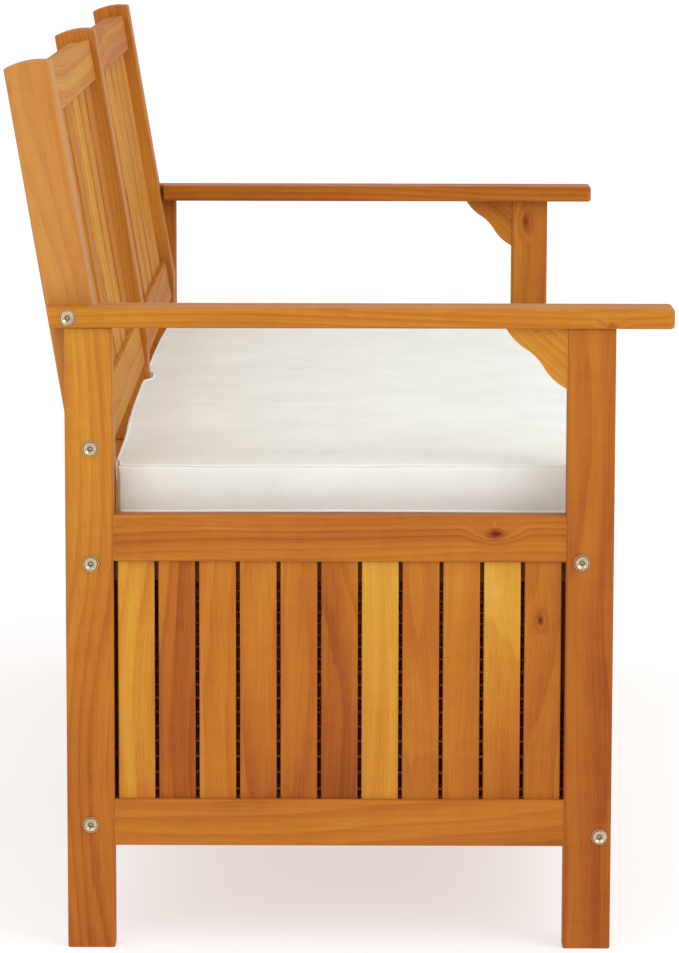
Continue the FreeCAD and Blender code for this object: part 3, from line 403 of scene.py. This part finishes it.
def dowels():
    """Plain beech, with its grain and its short dark flecks along X."""
    g = Graph("beech")
    place = g.add("TexCoord").outputs["Object"]
    fibres = g.stretched(place, (90.0, 900.0, 900.0), 3.0, 0.6)
    flecks = g.level(g.stretched(place, (240.0, 2400.0, 2400.0), 1.0), 0.62, 0.7)
    colour = g.ramp(fibres, [(0.3, linear("#C99B66")), (0.7, linear("#E0BE8E"))])
    colour = g.mix(g.sum("MULTIPLY", flecks, 0.4), colour, linear("#9C6A3C"))
    g.bump(fibres, 0.0002, 0.4)
    dress(g.finish(colour, g.sum("MULTIPLY_ADD", fibres, 0.2, 0.5)), "wood_dowels")


# ---------------------------------------------------------------- cushion

THREAD_PITCH = 0.0011


def fabric(name):
    """Plain-woven cream polyester: threads over and under each other, slubs, and a faint soft mottle."""
    g = Graph(name)
    place = g.add("TexCoord").outputs["Object"]
    x, y, z = g.split(place)
    thread = 2 * math.pi / THREAD_PITCH
    soft = g.noise(place, 14.0, 3.0, 0.55)
    wobble = g.sum("MULTIPLY", g.noise(place, 120.0, 2.0), 1.6)
    warp = g.sum("SINE", g.sum("MULTIPLY_ADD", x, thread, wobble))
    weft = g.sum("SINE", g.sum("MULTIPLY_ADD", y, thread, wobble))
    rise = g.sum("SINE", g.sum("MULTIPLY_ADD", z, thread, wobble))
    weave = g.sum("MULTIPLY", g.sum("ADD", warp, rise), g.sum("ADD", weft, rise))
    slub = g.stretched(place, (60.0, 700.0, 700.0), 2.0, 0.6)
    colour = g.ramp(g.sum("MULTIPLY_ADD", slub, 0.35, g.sum("MULTIPLY", soft, 0.65)),
                    [(0.32, linear("#E7EAE3")), (0.68, linear("#F3F6EF"))])
    colour = g.mix(g.level(weave, 1.2, -1.2, 0.0, 0.08), colour, linear("#C4C2B6"))
    g.bump(g.sum("MULTIPLY_ADD", slub, 0.6, g.sum("MULTIPLY", weave, 0.4)), 0.0003, 0.35)
    g.shader.inputs["Sheen Weight"].default_value = 0.15
    g.shader.inputs["Sheen Roughness"].default_value = 0.5
    g.shader.inputs["Specular IOR Level"].default_value = 0.2
    return g.finish(colour, 0.85)


def new_object(name, data):
    made = bpy.data.objects.new(name, data)
    bpy.context.scene.collection.objects.link(made)
    return made


CELL = 0.009         # size of the shell's cells
CREASE = 0.004       # radius of the cover's sewn edges
FOOT = 0.010         # radius of the lower rear edge, which turns past the fixed slat as the lid opens
FOOT_END = 0.0045    # the same at the pad's two ends
FOOT_CHANGE = (0.016, 0.003)     # distances from an end between which the one becomes the other
CORNER = 0.0035      # radius of the corners seen from above
END_INSET, FRONT_INSET, TOP_INSET, REAR_INSET = 0.003, 0.003, 0.0025, 0.0005    # room to be filled
HELD_REACH = 0.030   # the shell is held at its sewn edges, and less and less as far as this
SWELL = 0.0038       # the most a point moves as the shell is filled
FILL_FRAMES = 20
BAY_FULL = 0.0085    # how far the rear edge spreads back between the posts
BAY_MIDDLE = (0.0235, 0.040)     # places either side of the centre between which a bay begins
BAY_END = (0.664, 0.012)         # where a bay ends, and over what length
BAY_FADE = (0.10, 0.64, 0.62)    # the spread falls between these two places by this share
END_DRAW, FRONT_DRAW = 0.0012, 0.0018        # how far the ends and the front pull in between the corners
# the slack of the cover: cells in a metre along each axis, shift, and height
DRAPES = (((7, 9, 12), (0, 0, 0), 0.0011), ((26, 30, 22), (5, 0, 0), 0.00045))
EAR = 0.0022         # how far the corners stand out along the upper seam
FOLDS, FOLD_DEPTH = 330, 0.0006    # the wrinkles near the corners: radians in a metre, and height
REAR_PROUD = 0.0012  # how far the cover may stand back of its box, beside the bays' spread
WELT_SIDES = 8


def smooth(value, low, high):
    """0 below low and 1 above high, with a soft change between them."""
    share = min(max((value - low) / (high - low), 0.0), 1.0)
    return share * share * (3 - 2 * share)


def spaced(low, high):
    """Places from low to high about a cell apart, and closer together round the edges."""
    near = [0.0, CREASE * 0.3, CREASE * 0.65, CREASE, CREASE * 1.8]
    span = high - low - 2 * near[-1]
    count = max(round(span / CELL), 1)
    middle = [low + near[-1] + span * i / count for i in range(count + 1)]
    return [low + gap for gap in near[:-1]] + middle + [high - gap for gap in near[-2::-1]]


def to_arc(first, second):
    """A place in a square, measured from its inner corner, moved on to a quarter of a disc."""
    if first <= 0 or second <= 0:
        return first, second
    share = max(first, second) / math.hypot(first, second)
    return first * share, second * share


def block_place(place, low, high):
    """A place on a plain box, moved on to the pad's rounded form."""
    inner = Vector(min(max(place[i], low[i] + CREASE), high[i] - CREASE) for i in range(3))
    away = Vector(place) - inner
    if away.length > 0:
        place = inner + away.normalized() * CREASE
    x, y, z = place
    far, near = FOOT_CHANGE
    radius = FOOT + (FOOT_END - FOOT) * smooth(abs(x), high.x - far, high.x - near)
    rear, foot = to_arc(y - (high.y - radius), low.z + radius - z)
    if rear > 0 and foot > 0:
        y, z = high.y - radius + rear, low.z + radius - foot
    side = math.copysign(1.0, x)
    middle = (low.y + high.y) / 2
    face = math.copysign(1.0, y - middle)
    out_x = abs(x) - (high.x - CORNER)
    out_y = abs(y - middle) - ((high.y - low.y) / 2 - CORNER)
    if out_x > 0 and out_y > 0:
        moved_x, moved_y = to_arc(out_x, out_y)
        x, y = x + side * (moved_x - out_x), y + face * (moved_y - out_y)
    return Vector((x, y, z))


def edge_gap(place, low, high):
    """How far a place on a box's surface lies from the nearest edge."""
    return sorted(min(place[i] - low[i], high[i] - place[i]) for i in range(3))[1]


def cushion_block():
    """The pad before it is filled: a shell of even cells, a little smaller than the CAD solid."""
    low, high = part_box("cushion")
    low = low + Vector((END_INSET, FRONT_INSET, 0.0))
    high = high - Vector((END_INSET, REAR_INSET, TOP_INSET))
    axes = [spaced(low[i], high[i]) for i in range(3)]
    bm = bmesh.new()
    points, gaps = {}, []
    for axis in range(3):
        u, v = (axis + 1) % 3, (axis + 2) % 3
        last = len(axes[axis]) - 1
        for end in (0, last):
            for a in range(len(axes[u]) - 1):
                for b in range(len(axes[v]) - 1):
                    face = []
                    for step_a, step_b in ((0, 0), (1, 0), (1, 1), (0, 1)):
                        key = [0, 0, 0]
                        key[axis], key[u], key[v] = end, a + step_a, b + step_b
                        key = tuple(key)
                        if key not in points:
                            place = Vector(axes[i][key[i]] for i in range(3))
                            points[key] = bm.verts.new(block_place(place, low, high))
                            gaps.append(edge_gap(place, low, high))
                        face.append(points[key])
                    bm.faces.new(face if end else face[::-1])
    data = bpy.data.meshes.new("cushion_pad")
    bm.to_mesh(data)
    bm.free()
    pad = new_object("cushion_pad", data)
    held = pad.vertex_groups.new(name="held")
    for index, gap in enumerate(gaps):
        held.add([index], 1.0 - smooth(gap, CREASE, HELD_REACH), "REPLACE")
    return pad


def keep_result(obj):
    """The object's modifiers, worked into its mesh."""
    evaluated = obj.evaluated_get(bpy.context.evaluated_depsgraph_get())
    made = bpy.data.meshes.new_from_object(evaluated)
    obj.modifiers.clear()
    obj.data = made


def fill_pad(pad):
    """Blows the cloth shell up, as foam fills a cover. Its sewn edges are held."""
    before = [v.co.copy() for v in pad.data.vertices]
    cloth = pad.modifiers.new("cloth", "CLOTH")
    settings = cloth.settings
    settings.vertex_group_mass = "held"
    settings.pin_stiffness = 1.0
    settings.use_pressure, settings.uniform_pressure_force = True, 4.0
    settings.effector_weights.gravity = 0.0
    settings.quality = 3
    settings.tension_stiffness = settings.compression_stiffness = 15.0
    settings.bending_stiffness = 2.0
    cloth.collision_settings.use_collision = False
    cloth.point_cache.frame_start, cloth.point_cache.frame_end = 1, FILL_FRAMES
    for frame_number in range(1, FILL_FRAMES + 1):
        bpy.context.scene.frame_set(frame_number)
    keep_result(pad)
    for vertex, start in zip(pad.data.vertices, before):
        moved = vertex.co - start
        if moved.length > 0:
            vertex.co = start + moved * (SWELL * math.tanh(moved.length / SWELL) / moved.length)
    bpy.context.scene.frame_set(1)


def bay_spread(x):
    """How far back of the posts' fronts the rear edge stands at x, between the posts."""
    fade_start, fade_end, fade = BAY_FADE
    bay = smooth(abs(x), *BAY_MIDDLE) * (1.0 - fade * smooth(abs(x), fade_start, fade_end))
    end, length = BAY_END
    return BAY_FULL * bay * smooth(end - abs(x), 0.0, length)


def shape_pad(pad, low, high):
    """The marks of use: flat below, drawn in between the corners, a slack cover and full bays."""
    half_x, half_y = (high.x - low.x) / 2, (high.y - low.y) / 2
    mid_y = (high.y + low.y) / 2
    for vertex in pad.data.vertices:
        x, y, z = vertex.co
        along_x, along_y = x / half_x, (y - mid_y) / half_y
        x -= math.copysign(END_DRAW * (1 - along_y ** 2) * smooth(abs(along_x), 0.90, 1.0), x)
        if along_y < 0:
            y += FRONT_DRAW * (1 - along_x ** 2) * smooth(-along_y, 0.85, 1.0)
        spread = bay_spread(x)
        y += spread * smooth(along_y, 0.90, 1.0) * smooth(z, low.z + 0.016, low.z + 0.036)
        upper = smooth(z, low.z + 0.004, low.z + 0.020)
        drape = 0.0
        for cells, shift, tall in DRAPES:
            spot = Vector(a * b + c for a, b, c in zip((x, y, z), cells, shift))
            drape += noise.noise(spot) * tall
        corner = smooth(abs(along_x), 0.93, 1.0) * smooth(abs(along_y), 0.80, 1.0)
        # the cover's corners stand out a little along the upper seam
        ear = smooth(abs(along_x), 0.975, 1.0) * smooth(abs(along_y), 0.93, 1.0)
        ear *= smooth(z, high.z - 0.014, high.z - 0.003) * EAR
        x, y = x + math.copysign(ear, x), y + math.copysign(ear, along_y)
        fold = math.sin((abs(along_x) * half_x * 0.8 + abs(along_y) * half_y) * FOLDS) * FOLD_DEPTH * corner
        x, y, z = Vector((x, y, z)) + vertex.normal * (drape + fold) * upper
        vertex.co = (x, min(y, high.y + REAR_PROUD + spread), max(z, low.z))


def edge_path(low, high, step=0.006):
    """Points round the cushion's plan, in order from the rear right corner."""
    path = []
    radius = CORNER
    corners = (((high.x - radius, high.y - radius), 0), ((low.x + radius, high.y - radius), 90),
               ((low.x + radius, low.y + radius), 180), ((high.x - radius, low.y + radius), 270))
    for index, ((x, y), angle) in enumerate(corners):
        for turn in range(0, 91, 15):
            way = math.radians(angle + turn)
            path.append(Vector((x + radius * math.cos(way), y + radius * math.sin(way), 0)))
        (next_x, next_y), next_angle = corners[(index + 1) % 4]
        way = math.radians(next_angle)
        end = Vector((next_x + radius * math.cos(way), next_y + radius * math.sin(way), 0))
        start = path[-1]
        count = int((end - start).length / step)
        path += [start.lerp(end, i / count) for i in range(1, count)]
    return path


def tube(name, centres, radius):
    """A smooth tube through centres, closed to a ring."""
    bm = bmesh.new()
    rings = []
    count = len(centres)
    turns = [2 * math.pi * k / WELT_SIDES for k in range(WELT_SIDES)]
    for index, centre in enumerate(centres):
        forward = (centres[(index + 1) % count] - centres[index - 1]).normalized()
        side = forward.cross(Vector((0, 0, 1))).normalized()
        over = side.cross(forward)
        rings.append([bm.verts.new(centre + side * (radius * math.cos(turn))
                                   + over * (radius * math.sin(turn))) for turn in turns])
    for index, ring in enumerate(rings):
        after = rings[(index + 1) % count]
        for k in range(WELT_SIDES):
            beside = (k + 1) % WELT_SIDES
            bm.faces.new((ring[k], ring[beside], after[beside], after[k]))
    bmesh.ops.recalc_face_normals(bm, faces=bm.faces)
    data = bpy.data.meshes.new(name)
    bm.to_mesh(data)
    bm.free()
    for face in data.polygons:
        face.use_smooth = True
    return new_object(name, data)


def pad_surface(pad):
    """The pad's surface as it now is, for rays to meet."""
    bpy.context.view_layer.update()
    return BVHTree.FromObject(pad, bpy.context.evaluated_depsgraph_get())


def seam_points(tree, path, centre, level, tilt):
    """Where a line that comes in square to the edge, tilted up by tilt, meets the pad."""
    inward, reach = 0.012, 0.05
    points = []
    count = len(path)
    for index, point in enumerate(path):
        along = (path[(index + 1) % count] - path[index - 1]).normalized()
        outward = Vector((along.y, -along.x, 0))
        if outward.dot(point - centre) < 0:
            outward.negate()
        way = (outward * math.cos(tilt) + Vector((0, 0, math.sin(tilt)))).normalized()
        inside = Vector((point.x, point.y, level)) - outward * inward
        hit = tree.ray_cast(inside + way * reach, -way)[0]
        points.append(hit if hit else inside + way * inward)
    for _ in range(2):
        points = [(points[i - 1] + points[i] * 2 + points[(i + 1) % count]) / 4 for i in range(count)]
    return points


def draw_in(pad, lines, reach=0.008, depth=0.0006):
    """Pulls the cover in along its seams, by depth on them and by nothing at reach."""
    tree = KDTree(sum(len(line) for line in lines))
    for index, point in enumerate(point for line in lines for point in line):
        tree.insert(point, index)
    tree.balance()
    floor_level = min(v.co.z for v in pad.data.vertices)
    for vertex in pad.data.vertices:
        gap = tree.find(vertex.co)[2]
        if gap < reach:
            vertex.co -= vertex.normal * depth * (1 - gap / reach) ** 2
            vertex.co.z = max(vertex.co.z, floor_level)


# a seam's height from the pad's top or bottom, the tilt at which it faces out, and its welt's radius
TOP_SEAM = (0.0115, 45, 0.0009)
UNDER_SEAM = (0.0072, -30, 0.0013)


def cushion():
    """The filled and worn pad in its cover, with a welt along its upper and its lower seam."""
    low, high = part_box("cushion")
    pad = cushion_block()
    fill_pad(pad)
    shape_pad(pad, low, high)
    path = edge_path(low, high)
    centre = (low + high) / 2
    tree = pad_surface(pad)
    upper_path = [p + Vector((0, bay_spread(p.x) if p.y > high.y - CORNER else 0.0, 0)) for p in path]
    (top_gap, top_tilt, top_radius), (under_gap, under_tilt, under_radius) = TOP_SEAM, UNDER_SEAM
    top = seam_points(tree, upper_path, centre, high.z - top_gap, math.radians(top_tilt))
    under = seam_points(tree, path, centre, low.z + under_gap, math.radians(under_tilt))
    draw_in(pad, (top, under))
    for face in pad.data.polygons:
        face.use_smooth = True
    rounder = pad.modifiers.new("rounder", "SUBSURF")
    rounder.levels = rounder.render_levels = 1
    keep_result(pad)
    cover = fabric("cream_weave")
    pad.data.materials.clear()
    pad.data.materials.append(cover)
    welt_top = tube("cushion_welt_top", top, top_radius)
    welt_under = tube("cushion_welt_under", under, under_radius)
    for welt in (welt_top, welt_under):
        welt.data.materials.append(cover)
        for vertex in welt.data.vertices:
            vertex.co.z = max(vertex.co.z, low.z)
    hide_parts("cushion")
    for piece in (pad, welt_top, welt_under):
        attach(piece, "cushion")


# ---------------------------------------------------------------- studio

def studio():
    """A pale round floor that glows a little, a white sky and two square lamps."""
    floor_data = bpy.data.meshes.new("floor")
    bm = bmesh.new()
    bmesh.ops.create_circle(bm, cap_ends=True, radius=60.0, segments=96)
    bm.to_mesh(floor_data)
    bm.free()
    floor = new_object("floor", floor_data)
    g = Graph("pale_floor")
    cloud = g.noise(g.add("TexCoord").outputs["Object"], 1.2, 3.0)
    colour = g.ramp(cloud, [(0.3, linear("#B2B1B0")), (0.7, linear("#B6B5B5"))])
    floor_data.materials.append(g.finish(colour, 0.9))
    g.shader.inputs["Specular IOR Level"].default_value = 0.1
    g.shader.inputs["Emission Color"].default_value = (1.0, 1.0, 1.0, 1.0)
    g.shader.inputs["Emission Strength"].default_value = 0.60

    world = bpy.data.worlds.new("studio")
    bpy.context.scene.world = world
    world.use_nodes = True
    sky = world.node_tree.nodes["Background"].inputs
    sky["Color"].default_value = (0.98, 0.99, 1.0, 1.0)
    sky["Strength"].default_value = 0.92

    for name, place, aim, size, power in (
            ("key", (-3.0, -3.2, 3.6), (0.0, 0.0, 0.4), 3.0, 75.0),
            ("fill", (-4.4, 1.6, 2.2), (-0.4, 0.0, 0.5), 2.6, 30.0)):
        data = bpy.data.lights.new(name, "AREA")
        data.shape, data.size, data.energy = "SQUARE", size, power
        lamp = new_object(name, data)
        lamp.location = place
        lamp.rotation_euler = (Vector(aim) - Vector(place)).to_track_quat("-Z", "Y").to_euler()
        lamp.visible_camera = False


def camera():
    """A long lens 4 m beyond the left end, a little above the back and nearly square to the end."""
    data = bpy.data.cameras.new("camera")
    data.lens, data.sensor_width = 161.47, 36.0
    data.clip_start, data.clip_end = 0.1, 200.0
    made = new_object("camera", data)
    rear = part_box("leg_rear_left")[1].y
    down, swing, roll = 0.14707, -0.00315, 0.00199    # radians
    forward = Vector((math.cos(down) * math.cos(swing), -math.cos(down) * math.sin(swing), -math.sin(down)))
    level = Vector((-math.sin(swing), -math.cos(swing), 0.0))
    upward = level.cross(forward)
    right = level * math.cos(roll) + upward * math.sin(roll)
    up = upward * math.cos(roll) - level * math.sin(roll)
    turn = Matrix((right, up, -forward)).transposed()
    made.matrix_world = Matrix.Translation((-4.69093, rear - 0.26968, 1.03947)) @ turn.to_4x4()
    bpy.context.scene.camera = made


bpy.context.scene.view_settings.view_transform = "Standard"
wooden_parts()
metal("yellow_zinc", "#EBDDBE", "#A8916B", 0.24, ["frame_bolts", "barrel_nuts"])
metal("hinge_zinc", "#D9D9D4", "#96968F", 0.38, ["hinge_leaves_fixed", "hinge_leaves_moving", "hinge_pins"])
metal("screw_zinc", "#E2CDA0", "#9C865C", 0.34,
      ["hinge_screws_fixed", "hinge_screws_moving", "lid_screws", "seat_screws"])
dowels()
cushion()
studio()
camera()
